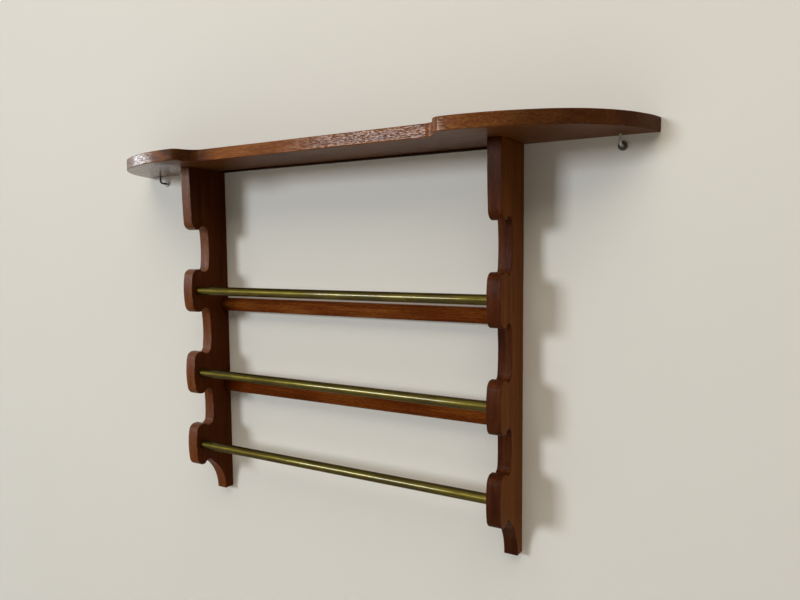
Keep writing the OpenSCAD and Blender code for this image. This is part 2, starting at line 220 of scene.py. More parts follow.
# A board with the closed outline (a, b), from the face at low to the face at high along c. Where
# an arris turns through t, its ring is drawn in by r (1 - sin t) and lies r (1 - cos t) from the
# face, and its normal leans by t. Both faces are filled round the holes drilled into them.
# Each hole is (a, b, radius, depth, face), with face -1 for low and 1 for high.
def boardPiece(name, outline, low, high, axes, arris, holes=(), *, seed, uneven=craft["uneven"]):
    count = len(outline)
    out = outward(outline)
    spacing = np.hypot(*np.diff(outline, axis=0).T).max()
    pull = blurred(out, spacing, craft["pullWidth"] * arris)
    waver = 1 + uneven * wander(count, seed, *craft["arrisWaves"])
    sawn = craft["sawWaver"] * (1 + wander(count, seed + craft["sawSeed"], *craft["sawWaves"]))
    line = outline - out * sawn[:, None]
    turns = np.radians(np.linspace(0, 90, craft["arrisRings"]))
    steps = craft["holeSides"]
    points, normals, wear, edge, quads, triangles = [], [], [], [], [], []
    rings = [(-1, t) for t in turns] + [(1, t) for t in turns[::-1]]
    for side, turn in rings:
        radius = arris * (waver if side < 0 else waver[::-1])
        flat = line - pull * (radius * (1 - math.sin(turn)))[:, None]
        lift = (high if side > 0 else low) - side * radius * (1 - math.cos(turn))
        points.append(np.column_stack([flat, lift]))
        normals.append(np.column_stack([out * math.sin(turn), np.full(count, side * math.cos(turn))]))
        wear.append(np.full(count, math.sin(2 * turn)))
        edge.append(np.full(count, math.sin(turn)))
    quads.append(ringQuads(0, len(rings), count))
    total = len(rings) * count
    for side, first in ((-1, 0), (1, (len(rings) - 1) * count)):
        level = high if side > 0 else low
        rims = [points[0 if side < 0 else len(rings) - 1][:, :2]]
        index = [first + np.arange(count)]
        for a, b, radius, depth, face in holes:
            if face != side:
                continue
            rows = holeRows(radius, depth)
            around = np.radians(np.arange(steps) * 360 / steps)
            ray = np.column_stack([np.cos(around), np.sin(around)])
            grid = np.vstack([np.column_stack([(a, b) + ray * row[0],
                                               np.full(steps, level - side * row[1])]) for row in rows])
            lean = np.vstack([np.column_stack([-ray * row[2], np.full(steps, side * row[3])])
                              for row in rows])
            points.append(np.vstack([grid, [[a, b, level - side * depth]]]))
            normals.append(np.vstack([lean, [[0, 0, side]]]))
            wear.append(np.zeros(len(grid) + 1))
            edge.append(np.zeros(len(grid) + 1))
            walls = ringQuads(total, len(rows), steps)
            last = total + (len(rows) - 1) * steps + np.arange(steps)
            floor = np.column_stack([last, np.roll(last, -1), np.full(steps, total + len(grid))])
            quads.append(walls if side > 0 else walls[:, ::-1])
            triangles.append(floor if side > 0 else floor[:, ::-1])
            rims.append(grid[:steps, :2])
            index.append(total + np.arange(steps))
            total += len(grid) + 1
        sizes = [len(r) for r in rims]
        starts = np.cumsum([0] + sizes[:-1])
        edges = np.vstack([np.column_stack([s + np.arange(n), s + (np.arange(n) + 1) % n])
                           for s, n in zip(starts, sizes)])
        filled = delaunay_2d_cdt(np.vstack(rims).tolist(), edges.tolist(), [],
                                 craft["insideButHoles"], craft["merge"])
        if len(filled[0]) != sum(sizes):
            raise ValueError(f"{name}: the outline of a face crosses itself")
        face = np.concatenate(index)[np.array(filled[2])]
        triangles.append(face if side > 0 else face[:, ::-1])
    points, normals = np.vstack(points), np.vstack(normals)
    quads, triangles = np.vstack(quads), np.vstack(triangles)
    marks = {"wear": np.concatenate(wear), "edge": np.concatenate(edge)}
    turned = np.array(axes, float)
    if np.linalg.det(turned) < 0:
        quads, triangles = quads[:, ::-1], triangles[:, ::-1]
    return makePiece(name, points @ turned, normals @ turned, quads, triangles, marks)


# Half of the shelf's front from the middle to the tip, depth counted forwards: a hollow and a crest
# with a short slope between them at the shoulder, a long arc at the front of the lobe and one that
# ends at the wall. The last circle passes through the tip: r = (dx^2 + y^2) / (2 (y sin a - dx cos a)).
def shelfOutline():
    slope = math.radians(shelf["shoulderSlope"])
    radii = shelf["hollowR"] + shelf["crestR"]
    slopeDy = shelf["lobeDepth"] - shelf["middleDepth"] - radii * (1 - math.cos(slope))
    half = (radii * math.sin(slope) + slopeDy / math.tan(slope)) / 2
    hollow = (shelf["shoulderX"] - half, shelf["middleDepth"] + shelf["hollowR"])
    crest = (shelf["shoulderX"] + half, shelf["lobeDepth"] - shelf["crestR"])
    front = (crest[0], shelf["lobeDepth"] - shelf["lobeFrontR"])
    joint = 90 - shelf["lobeFrontTurn"]
    sine, cosine = math.sin(math.radians(joint)), math.cos(math.radians(joint))
    jointX = front[0] + shelf["lobeFrontR"] * cosine
    jointY = front[1] + shelf["lobeFrontR"] * sine
    reach = shelf["length"] / 2 - jointX
    tipR = (reach ** 2 + jointY ** 2) / (2 * (jointY * sine - reach * cosine))
    tip = (jointX - tipR * cosine, jointY - tipR * sine)
    tipEnd = -math.degrees(math.asin(tip[1] / tipR))
    right = np.vstack([
        arc(hollow, shelf["hollowR"], -90, -90 + shelf["shoulderSlope"]),
        arc(crest, shelf["crestR"], 90 + shelf["shoulderSlope"], 90),
        arc(front, shelf["lobeFrontR"], 90, joint),
        arc(tip, tipR, joint, tipEnd),
    ]) * (1, -1)
    left = right[::-1] * (-1, 1)
    return easedLine([left, right], craft["lineStep"], shelf["ease"])


# The three arcs of a pad's front, tangent to each other: round corner, bow, round corner.
def padFront(middle, height, depth, bowR, top=True, bottom=True):
    corner = upright["cornerR"]
    half = height / 2 - corner
    bow = depth - bowR
    cornerU = bow + math.sqrt((bowR - corner) ** 2 - half ** 2)
    turn = math.degrees(math.asin(half / (bowR - corner)))
    runs = []
    if top:
        runs.append(arc((cornerU, middle + half), corner, 90, turn))
    runs.append(arc((bow, middle), bowR, turn if top else 0, -turn if bottom else 0))
    if bottom:
        runs.append(arc((cornerU, middle - half), corner, -turn, -90))
    return runs


# The three arcs between two pads: a round notch, a hollow bow and a round notch.
def waistFront(top, bottom):
    r = upright["notchR"]
    high = top + upright["notchRise"] - r
    low = bottom - upright["notchDip"] + r
    half = (high - low) / 2
    bow = upright["waistDepth"] + upright["waistBowR"]
    notchU = bow - math.sqrt((upright["waistBowR"] - r) ** 2 - half ** 2)
    turn = math.degrees(math.asin(half / (upright["waistBowR"] - r)))
    start = math.degrees(math.asin((top - high) / r))
    end = 360 - math.degrees(math.asin((low - bottom) / r))
    return [arc((notchU, high), r, start, 180 - turn),
            arc((bow, (high + low) / 2), upright["waistBowR"], 180 - turn, 180 + turn),
            arc((notchU, low), r, 180 + turn, end)]


# The outline of an upright, depth u counted forwards from the wall and z upwards: down its front,
# along its foot and up the wall.
def uprightOutline():
    heights = upright["lobeHeights"]
    tops = [-drop + h / 2 for drop, h in zip(rod["drops"], heights)]
    bottoms = [-upright["blockHeight"]] + [-drop - h / 2 for drop, h in zip(rod["drops"], heights)]
    runs = [np.array([[0.0, 0.0]])]
    runs += padFront(0, 2 * upright["blockHeight"], upright["blockDepth"], upright["blockBowR"],
                     top=False)
    for i, drop in enumerate(rod["drops"]):
        runs += waistFront(bottoms[i], tops[i])
        runs += padFront(-drop, heights[i], upright["lobeDepth"], upright["lobeBowR"])
    foot = bottoms[3] - upright["tailHeight"]
    r, rise = upright["notchR"], upright["notchRise"]
    spring = (upright["tailDepth"] + upright["coveR"]
              - math.sqrt(upright["coveR"] ** 2 - upright["tailHeight"] ** 2))
    halfNotch = math.sqrt(r ** 2 - (r - rise) ** 2)
    lean = math.degrees(math.asin((r - rise) / r))
    runs.append(arc((spring + halfNotch, bottoms[3] + rise - r), r, lean, 180 - lean))
    coveStart = 180 - math.degrees(math.asin(upright["tailHeight"] / upright["coveR"]))
    runs.append(arc((upright["tailDepth"] + upright["coveR"], foot), upright["coveR"], coveStart, 180))
    runs.append(np.array([[0.0, foot]]))
    return easedLine(runs, craft["lineStep"], upright["ease"])[::-1]


# A rectangle with its corner at the origin and four eased corners of radius r.
def roundedBox(width, height, r):
    step = craft["barArc"]
    return easedLine([arc((r, r), r, 180, 270, step), arc((width - r, r), r, 270, 360, step),
                      arc((width - r, height - r), r, 0, 90, step),
                      arc((r, height - r), r, 90, 180, step)], craft["barStep"], craft["barEase"])


pieces = {}
hookX = shelf["length"] / 2 - hook["inset"]
uprightX = upright["innerWidth"] / 2 + upright["thickness"] / 2
flat = ((1, 0, 0), (0, 1, 0), (0, 0, 1))
legHoleR = hook["wire"] / 2 + hook["legClear"]
shelfHoles = [(side * hookX, -hook["reach"], legHoleR, hook["legInShelf"], -1) for side in (-1, 1)]
shelfHoles += [(side * uprightX, -y, dowel["diameter"] / 2, dowel["up"], -1)
               for side in (-1, 1) for y in (dowel["back"], dowel["back"] + dowel["pitch"])]
pieces["shelf"] = boardPiece("shelf_top_board", shelfOutline(), under, -under, flat,
                             shelf["arris"], shelfHoles, seed=shelf["seed"])
print("shelf made")

railTops = [-rod["drops"][i] - rail["drops"][i] for i in (0, 1)]
dowelZs = [top - rail["height"] / 2 + s * rail["dowelPitch"] / 2 for top in railTops for s in (-1, 1)]
uprightLine = uprightOutline()
uprightAxes = ((0, -1, 0), (0, 0, 1), (1, 0, 0))
for side, word in ((-1, "left"), (1, "right")):
    inner = side * upright["innerWidth"] / 2
    outer = inner + side * upright["thickness"]
    holes = [(-rodY, -drop, rod["diameter"] / 2 + rod["clearance"], rod["socketDepth"], -side)
             for drop in rod["drops"]]
    holes += [(rail["thickness"] / 2, z, rail["dowelD"] / 2, rail["dowelOut"], -side) for z in dowelZs]
    pieces[word] = boardPiece(f"{word}_scrolled_upright", uprightLine, min(inner, outer),
                              max(inner, outer), uprightAxes, upright["arris"], holes,
                              seed=upright["seed"] + side)
    pieces[word].data.transform(Matrix.Translation((0, 0, under * mm)))
print("uprights made")

railAxes = ((0, 1, 0), (0, 0, 1), (1, 0, 0))
for i, word in enumerate(("upper", "lower")):
    low = under + railTops[i] - rail["height"]
    holes = [(rail["thickness"] / 2, rail["height"] / 2 + s * rail["dowelPitch"] / 2,
              rail["dowelD"] / 2, rail["dowelIn"], side) for s in (-1, 1) for side in (-1, 1)]
    bar = roundedBox(rail["thickness"], rail["height"], rail["arris"])
    pieces[word] = boardPiece(f"{word}_wall_rail", bar, -upright["innerWidth"] / 2,
                              upright["innerWidth"] / 2, railAxes, rail["endArris"], holes,
                              seed=rail["seed"] + i, uneven=rail["uneven"])
    pieces[word].data.transform(Matrix.Translation((0, -rail["thickness"] * mm, low * mm)))
# A thin lath under the back of the shelf between the uprights. Its near-black tone is painted shade:
# the dark band where the shelf meets the wall.
bar = roundedBox(strip["depth"], strip["height"], strip["arris"])
pieces["strip"] = boardPiece("dark_wall_lath", bar, -upright["innerWidth"] / 2,
                             upright["innerWidth"] / 2, railAxes, strip["endArris"],
                             seed=strip["seed"], uneven=strip["uneven"])
low = under - strip["height"]
pieces["strip"].data.transform(Matrix.Translation((0, -strip["depth"] * mm, low * mm)))
print("rails and lath made")


# A tube about the X axis through (y, z): a closed profile of rows (x, radius, normal along x,
# normal away from the axis) is carried round in even steps.
def turnedTube(name, rows, y, z):
    steps = rod["sides"]
    around = np.arange(steps) * 2 * np.pi / steps
    ray = np.column_stack([np.zeros(steps), np.cos(around), np.sin(around)])
    closed = np.vstack([rows, rows[:1]])[:, None, :, None]
    points = (closed[:, :, 0] * (1, 0, 0) + closed[:, :, 1] * ray[None]).reshape(-1, 3)
    normals = (closed[:, :, 2] * (1, 0, 0) + closed[:, :, 3] * ray[None]).reshape(-1, 3)
    kept = len(rows) * steps
    quads = ringQuads(0, len(rows) + 1, steps) % kept
    return makePiece(name, points[:kept] + (0, y, z), normals[:kept], quads,
                     np.zeros((0, 3), int))


half = upright["innerWidth"] / 2 + rod["socketDepth"] - rod["endGap"]
outerR = rod["diameter"] / 2
innerR = outerR - rod["wall"]
ease, slant, rings = craft["rim"], craft["slant"], rod["rings"]
corner = craft["corner"] * ease
along = np.linspace(-half + ease, half - ease, rings)
tubeRows = np.vstack([
    np.column_stack([along, np.full(rings, outerR), np.zeros(rings), np.ones(rings)]),
    [[half - corner, outerR - corner, slant, slant], [half, outerR - ease, 1, 0],
     [half, innerR + ease, 1, 0], [half - corner, innerR + corner, slant, -slant]],
    np.column_stack([along[::-1], np.full(rings, innerR), np.zeros(rings), -np.ones(rings)]),
    [[-half + corner, innerR + corner, -slant, -slant], [-half, innerR + ease, -1, 0],
     [-half, outerR - ease, -1, 0], [-half + corner, outerR - corner, -slant, slant]],
])
for word, drop in zip(("upper", "middle", "lower"), rod["drops"]):
    pieces[word + "Rod"] = turnedTube(f"{word}_brass_tube", tubeRows, rodY, under - drop)
print("tubes made")


# A round wire in the plane x = 0 of its hook: rings of radius r about the points of a path of
# rows (y, z, radius, heading), each ring square to the heading, and both ends closed.
def wirePiece(name, path, x):
    steps = hook["sides"]
    around = np.arange(steps) * 2 * np.pi / steps
    heading = np.radians(path[:, 3])
    across = np.column_stack([np.zeros(len(path)), -np.sin(heading), np.cos(heading)])
    ray = (np.cos(around)[None, :, None] * (1, 0, 0) + np.sin(around)[None, :, None] * across[:, None])
    middle = np.column_stack([np.full(len(path), x), path[:, 0], path[:, 1]])
    points = (middle[:, None] + path[:, None, 2, None] * ray).reshape(-1, 3)
    normals = ray.reshape(-1, 3).copy()
    ends = np.vstack([middle[0], middle[-1]])
    forward = np.column_stack([np.zeros(2), np.cos(heading[[0, -1]]), np.sin(heading[[0, -1]])])
    forward[0] *= -1
    last = (len(path) - 1) * steps + np.arange(steps)
    first = np.arange(steps)
    count = len(points)
    caps = np.vstack([np.column_stack([np.roll(first, -1), first, np.full(steps, count)]),
                      np.column_stack([last, np.roll(last, -1), np.full(steps, count + 1)])])
    quads = ringQuads(0, len(path), steps)
    return makePiece(name, np.vstack([points, ends]), np.vstack([normals, forward]),
                     quads[:, ::-1], caps[:, ::-1])


# Rows (y, z, radius, heading) of a stretch of the wire: each is one value or one for every row.
def stretch(y, z, radius, heading):
    return np.column_stack(np.broadcast_arrays(y, z, radius, heading))


wireR, shank, bend, reach = hook["wire"] / 2, hook["shank"], hook["bend"], hook["reach"]
armZ = under - hook["drop"]
legTop = armZ + hook["drop"] + hook["legInShelf"]
tipIn, tipR = np.transpose(hook["tip"])
endIn, endLess = np.transpose(hook["legEnd"])
taperIn, taperR = hook["taper"]
taperEnd = shank - hook["point"]
bendTurn = np.linspace(0, 90, hook["bendRings"])
bendY = bend - reach
legZ = np.linspace(armZ + bend + hook["pastBend"], legTop - hook["beforeEnd"], hook["legRings"])
hookPath = np.vstack([
    stretch(shank - tipIn, armZ, tipR, 180),
    stretch(np.linspace(shank - taperIn, taperEnd, hook["taperRings"]), armZ,
            np.linspace(taperR, wireR, hook["taperRings"]), 180),
    stretch(np.linspace(taperEnd - hook["pastTaper"], bendY + hook["beforeBend"], hook["shankRings"]),
            armZ, wireR, 180),
    stretch(bendY - bend * np.sin(np.radians(bendTurn)),
            armZ + bend * (1 - np.cos(np.radians(bendTurn))), wireR, 180 - bendTurn),
    stretch(-reach, legZ, wireR, 90),
    stretch(-reach, legTop - endIn, wireR - endLess, 90),
])
for side, word in ((-1, "left"), (1, "right")):
    pieces[word + "Hook"] = wirePiece(f"{word}_bent_screw_hook", hookPath, side * hookX)
print("hooks made")


# A socket that takes part in sums: each operator adds its Math node and gives the answer's socket.
class Wire:
    def __init__(self, graph, socket):
        self.graph = graph
        self.socket = socket

    def __add__(self, other):
        return self.graph.sum("ADD", self, other)

    def __sub__(self, other):
        return self.graph.sum("SUBTRACT", self, other)

    def __rsub__(self, other):
        return self.graph.sum("SUBTRACT", other, self)

    def __mul__(self, other):
        return self.graph.sum("MULTIPLY", self, other)

    __radd__ = __add__
    __rmul__ = __mul__


# The nodes of one material, or of the sky.
class Graph:
    def __init__(self, owner):
        owner.use_nodes = True
        self.owner = owner
        self.tree = owner.node_tree
        self.tree.nodes.clear()

    # Adds a node: its settings come first, then a value or a Wire for each of its inputs.
    def add(self, kind, settings=None, inputs=None, output=0):
        node = self.tree.nodes.new(kind)
        for key, value in (settings or {}).items():
            if key == "stops":
                while len(node.color_ramp.elements) < len(value):
                    node.color_ramp.elements.new(1.0)
                for element, (place, colour) in zip(node.color_ramp.elements, value):
                    element.position = place
                    element.color = (*colour, 1)
            else:
                setattr(node, key, value)
        for key, value in (inputs or {}).items():
            if isinstance(value, Wire):
                self.tree.links.new(value.socket, node.inputs[key])
            else:
                node.inputs[key].default_value = value
        return None if output is None else Wire(self, node.outputs[output])

    # A Math node for two numbers.
    def sum(self, operation, first, second):
        return self.add("ShaderNodeMath", {"operation": operation}, {0: first, 1: second})

    # One of the Object coordinates, 0 to 2 for X to Z, in metres.
    def coordinate(self, axis):
        spot = self.add("ShaderNodeTexCoord", output="Object")
        return self.add("ShaderNodeSeparateXYZ", {}, {0: spot}, output=axis)

    # The mark that a mesh holds at each of its points.
    def mark(self, word):
        return self.add("ShaderNodeAttribute", {"attribute_name": word}, output="Fac")

    # A pattern's place: Object coordinates divided by its sizes in mm, turned by degrees and moved.
    def place(self, sizes, shift, turn):
        spot = self.add("ShaderNodeTexCoord", output="Object")
        scale = tuple(1 / mm / size for size in sizes)
        return self.add("ShaderNodeMapping", {}, {"Vector": spot, "Location": shift, "Scale": scale,
                                                  "Rotation": tuple(math.radians(t) for t in turn)})

    # How far a place is from the nearest of many scattered spots, in steps of the sizes.
    def scatter(self, sizes, shift, turn=(0, 0, 0)):
        return self.add("ShaderNodeTexVoronoi", {"feature": "F1"},
                        {"Vector": self.place(sizes, shift, turn), "Scale": 1.0})

    def noise(self, sizes, shift, detail, distortion=0.0, rough=0.55, turn=(0, 0, 0)):
        return self.add("ShaderNodeTexNoise", {"noise_dimensions": "3D"},
                        {"Vector": self.place(sizes, shift, turn), "Scale": 1.0, "Detail": detail,
                         "Roughness": rough, "Distortion": distortion})

    # A noise along the grain: its pattern is a size along and across it in mm, detail, distortion
    # and perhaps roughness.
    def grain(self, axis, pattern, shift, turn=(0, 0, 0)):
        return self.noise(grained(axis, *pattern[:2]), shift, *pattern[2:], turn=turn)

    # A noise of one size all ways: its pattern is the size in mm and the detail.
    def haze(self, pattern, shift):
        return self.noise((pattern[0],) * 3, shift, pattern[1])

    # Value from 0 to 1 as the input goes from the first end to the last.
    def ramp(self, value, ends):
        return self.add("ShaderNodeMapRange", {"interpolation_type": "SMOOTHSTEP"},
                        {"Value": value, "From Min": ends[0], "From Max": ends[1],
                         "To Min": 0.0, "To Max": 1.0})

    # A number that follows straight lines between the given (place, value) pairs. A ramp of colours
    # goes from 0 to 1, so places in metres, within half a metre either way, are raised by a half.
    def graph(self, value, pairs, raised=0.5):
        stops = [(place + raised, (level, level, level)) for place, level in pairs]
        return self.add("ShaderNodeValToRGB", {"stops": stops}, {0: value + raised})

    def mix(self, amount, first, second):
        colours = [c if isinstance(c, Wire) else (*c, 1) for c in (first, second)]
        return self.add("ShaderNodeMix", {"data_type": "RGBA"},
                        {0: amount, 6: colours[0], 7: colours[1]}, output=2)

    # Closes the material: its shader's inputs, and its bump's height, strength and depth in mm.
    def finish(self, settings, height, strength, depth):
        settings["Normal"] = self.add("ShaderNodeBump", {}, {
            "Strength": strength, "Distance": depth * mm, "Height": height})
        shader = self.add("ShaderNodeBsdfPrincipled", {}, settings)
        self.add("ShaderNodeOutputMaterial", {}, {"Surface": shader}, output=None)
        return self.owner


# Sizes of a pattern that is long along the grain and narrow across it.
def grained(axis, along, across):
    sizes = [across, across, across]
    sizes[axis] = along
    return tuple(sizes)


noiseMiddle = 0.5  # a noise goes from 0 to 1 about it
woodLook = {
    # three tones from the deepest to the palest streak, for the faces and for the sawn edges, and
    # where they stand; the colours of pores, of worn arrises and of the painted sheen
    "face": ((0.090, 0.0200, 0.0014), (0.140, 0.0380, 0.0022), (0.185, 0.0560, 0.0035)),
    "edge": ((0.025, 0.0045, 0.0008), (0.065, 0.0140, 0.0022), (0.120, 0.0350, 0.0070)),
    "toneStops": (0.36, 0.50, 0.66),
    "pore": (0.020, 0.005, 0.0013), "worn": (0.20, 0.10, 0.05), "paintedSheenTone": (0.30, 0.20, 0.165),
    # patterns: millimetres along and across the grain, then detail, distortion and roughness
    "figure": (230, 13, 3, 0.9, 0.55), "streak": (85, 1.9, 3, 0.3, 0.6), "fibre": (9, 0.8, 2, 0, 0.6),
    "fleck": (8, 1.15, 2, 0.4, 0.6), "glint": (6, 1.1, 2, 0.4, 0.6),
    "dash": (6, 0.9), "cloud": (90, 2), "patch": (14, 4), "patchShift": (3, 5, 7),
    "pin": 46, "pinShift": (0.37, 0.21, 0.6),
    # where each pattern sets in, and where it is full
    "dashEnds": (0.10, 0.26), "openEnds": (0.55, 0.75), "gapShadeEnds": (0.50, 0.40),
    "dullEnds": (-0.10, 0.30), "glintEnds": (0.47, 0.54), "fleckEnds": (0.57, 0.49),
    "patchEnds": (0.50, 0.72), "pinEnds": (0.018, 0.030), "topEnds": (-0.004, 0.004),
    # shares: of figure, streak, fibre and cloud in the tone; of streak, pore and rub in the
    # roughness; of streak, fibre and pore in the bump; and of each mark in its colour or gloss
    "shares": (0.52, 0.20, 0.28), "cloudShare": 0.16, "roughShares": (0.22, 0.25, 0.15),
    # hollow is the painted shade between the flecks; the glint shares below give a painted sheen
    "bumpShares": (0.4, 0.6, 0.9), "openStreak": 0.35, "poreShare": 0.75, "hollow": 0.30,
    "speckle": 0.45, "faceSpeckle": 0.4, "paintedSheenShare": 0.30, "evenPaintedSheen": 0.22, "broken": 0.0,
    "wear": 0.3, "wander": 0.02,
    "roughness": 0.46, "specular": 0.04, "glossRoughness": 0.24, "glossIor": 1.5,
    "bump": 0.35, "bumpDepth": 0.4,
    # how glossy the varnish is on the sawn edges and on the faces, at each place along the axis
    # numbered by lie
    "lie": 0, "gloss": ((-0.4, 0.08), (0.4, 0.08)), "faceGloss": ((-0.4, 0.0), (0.4, 0.0)),
}
# The left upright: its faces are a darker copy of the same wood as the right upright's, painted shade;
# its glossy places, listed by height, also set where the painted sheen falls.
leftLook = dict(
    woodLook, lie=2, wear=0.6, worn=(0.30, 0.19, 0.14), glossRoughness=0.25,
    face=((0.040, 0.0070, 0.0006), (0.068, 0.0150, 0.0012), (0.100, 0.0240, 0.0022)),
    edge=((0.078, 0.0160, 0.0022), (0.140, 0.0345, 0.0052), (0.215, 0.0670, 0.0120)),
    gloss=((-0.50, 0.15), (-0.458, 0.08), (-0.43, 0.20), (-0.40, 0.55), (-0.385, 0.45),
           (-0.352, 0.10), (-0.33, 0.15), (-0.290, 0.65), (-0.275, 0.55), (-0.230, 0.10),
           (-0.205, 0.20), (-0.165, 0.80), (-0.15, 0.65), (-0.105, 0.45), (-0.09, 0.35),
           (-0.04, 0.80)))
# The right upright: its edges darken towards the bottom.
rightLook = dict(woodLook, lie=2, shadeTone=(0.022, 0.0035, 0.0005),
                 shade=((-0.48, 0.5), (-0.15, 0.0)))
railTone = ((0.050, 0.0075, 0.0005), (0.105, 0.0215, 0.0015), (0.240, 0.0790, 0.0130))
# The rails: painted shade darkens their ends where they meet the uprights.
railLook = dict(
    woodLook, face=railTone, edge=railTone, shares=(0.34, 0.30, 0.36), specular=0.02,
    gloss=((-0.4, 0.0), (0.4, 0.0)), shadeTone=(0.020, 0.0030, 0.0004),
    shade=((-0.236, 0.9), (-0.228, 0.7), (-0.216, 0.0), (0.225, 0.0), (0.235, 0.6)))
# The shelf: painted shade darkens the edge on the left shoulder's slope, which faces away from the
# window lamp, and the edge also darkens towards the right end.
shelfLook = dict(
    woodLook, wear=0.6, bump=0.7, specular=0.06, glossRoughness=0.17, glossIor=2.0,
    face=((0.050, 0.0150, 0.0040), (0.100, 0.0330, 0.0080), (0.160, 0.0620, 0.0180)),
    edge=((0.075, 0.0170, 0.0030), (0.210, 0.0640, 0.0120), (0.390, 0.1550, 0.0400)),
    shares=(0.40, 0.28, 0.32), wander=0.10, hollow=1.0, speckle=0.95, broken=0.90,
    fleck=(6, 0.8, 2, 0.4, 0.6), glint=(12, 2.2, 2, 0.4, 0.6), paintedSheenTone=(0.42, 0.34, 0.32),
    paintedSheenShare=0.12,
    gloss=((-0.33, 1.0), (-0.29, 0.5), (-0.26, 0.4), (-0.228, 0.03), (-0.21, 0.0),
           (-0.05, 0.0), (0.03, 0.09), (0.10, 0.12), (0.22, 0.11), (0.26, 0.02)),
    faceGloss=((-0.26, 0.85), (-0.228, 0.10), (-0.05, 0.10), (0.03, 0.25), (0.22, 0.30),
               (0.26, 0.06)),
    topGloss=0.15, shadeTone=(0.024, 0.0060, 0.0016),
    shade=((-0.225, 0.15), (-0.208, 0.85), (-0.178, 0.80), (-0.145, 0.0), (0.20, 0.0),
           (0.31, 0.75)))
# The lath: a near-black tone, painted shade under the shelf.
paintedShadeLathTone = ((0.006, 0.0016, 0.0006), (0.014, 0.0040, 0.0016), (0.030, 0.0100, 0.0045))
paintedShadeLathLook = dict(woodLook, face=paintedShadeLathTone, edge=paintedShadeLathTone, worn=(0.04, 0.02, 0.012), roughness=0.6)
dowelTone = ((0.42, 0.27, 0.13), (0.58, 0.41, 0.23), (0.70, 0.53, 0.33))
dowelLook = dict(woodLook, face=dowelTone, edge=dowelTone, pore=(0.25, 0.15, 0.08), roughness=0.65)


# Varnished wood: broad figure, fine streaks and fibres, all long along the grain, make one tone;
# pores are short dark dashes; arrises are paler where a patchy noise lets their wear show. The
# varnish is a coat whose gloss changes along the board. On the sawn edges flecks and coarser
# glints break it up, with painted shade in the gaps between the flecks and a pale painted sheen
# where the gloss is strong. A board may be darker along parts of its edge, which on the shelf
# and rails is painted shade; it may have a gloss of its own on top, and bear pinholes.
def woodFinish(name, axis, look, shift, turn=(0, 0, 0), pinShare=0.0):
    g = Graph(bpy.data.materials.new(name))
    figure, streak, fibre, fleck, glint = [
        g.grain(axis, look[word], shift, turn)
        for word in ("figure", "streak", "fibre", "fleck", "glint")]
    cloud = g.haze(look["cloud"], shift)
    pore = 1 - g.ramp(g.scatter(grained(axis, *look["dash"]), shift, turn), look["dashEnds"])
    pore = pore * g.ramp(fibre + look["openStreak"] * streak, look["openEnds"])
    edge, wear = g.mark("edge"), g.mark("wear")
    spot = g.coordinate(look["lie"]) + look["wander"] * (figure - noiseMiddle)
    shine, faceShine = g.graph(spot, look["gloss"]), g.graph(spot, look["faceGloss"])
    glint = g.ramp(glint, look["glintEnds"])

    shares = look["shares"]
    tone = shares[0] * figure + shares[1] * streak + shares[2] * fibre
    tone = tone + look["cloudShare"] * (cloud - noiseMiddle)
    faceTone, edgeTone = [
        g.add("ShaderNodeValToRGB", {"stops": list(zip(look["toneStops"], look[word]))}, {0: tone})
        for word in ("face", "edge")]
    # the edge tone is darkened at the places listed under shade: painted shade on the shelf's left
    # shoulder and at the rails' ends, and a plain darkening elsewhere
    if "shade" in look:
        edgeTone = g.mix(g.graph(spot, look["shade"]), edgeTone, look["shadeTone"])
    colour = g.mix(edge, faceTone, edgeTone)
    # painted shade: where the varnish is glossy, the gaps between the flecks take the pore colour
    hollow = g.ramp(fleck, look["gapShadeEnds"]) * g.ramp(shine, look["dullEnds"])
    colour = g.mix(look["hollow"] * edge * hollow, colour, look["pore"])
    # painted sheen: a pale tone mixed in where the varnish's gloss is strong, standing in for its
    # reflection
    even = look["evenPaintedSheen"]
    paintedSheen = look["paintedSheenShare"] * shine * shine * edge * (even + (1 - even) * glint)
    colour = g.mix(paintedSheen, colour, look["paintedSheenTone"])
    colour = g.mix(look["poreShare"] * pore, colour, look["pore"])
    rub = wear * g.ramp(g.haze(look["patch"], look["patchShift"]), look["patchEnds"])
    colour = g.mix(look["wear"] * rub, colour, look["worn"])
    if pinShare:
        pin = g.scatter((look["pin"],) * 3, look["pinShift"])
        colour = g.mix((1 - g.ramp(pin, look["pinEnds"])) * pinShare, colour, look["pore"])

    parts = look["roughShares"]
    roughness = look["roughness"] + parts[0] * (streak - noiseMiddle)
    roughness = roughness + parts[1] * pore + parts[2] * rub
    if "topGloss" in look:
        top = g.ramp(g.coordinate(2), look["topEnds"])
        faceShine = faceShine * (1 - top) + look["topGloss"] * top
    flecked = 1 - look["speckle"] * g.ramp(fleck, look["fleckEnds"])
    unbroken = 1 - look["broken"] * shine * (1 - glint)
    part = look["faceSpeckle"]
    gloss = shine * edge * flecked * unbroken + faceShine * (1 - edge) * (1 - part + part * flecked)
    parts = look["bumpShares"]
    return g.finish({"Base Color": colour, "Roughness": roughness,
                     "Specular IOR Level": look["specular"], "Coat Weight": gloss,
                     "Coat Roughness": look["glossRoughness"], "Coat IOR": look["glossIor"]},
                    parts[0] * streak + parts[1] * fibre - parts[2] * pore, look["bump"],
                    look["bumpDepth"])


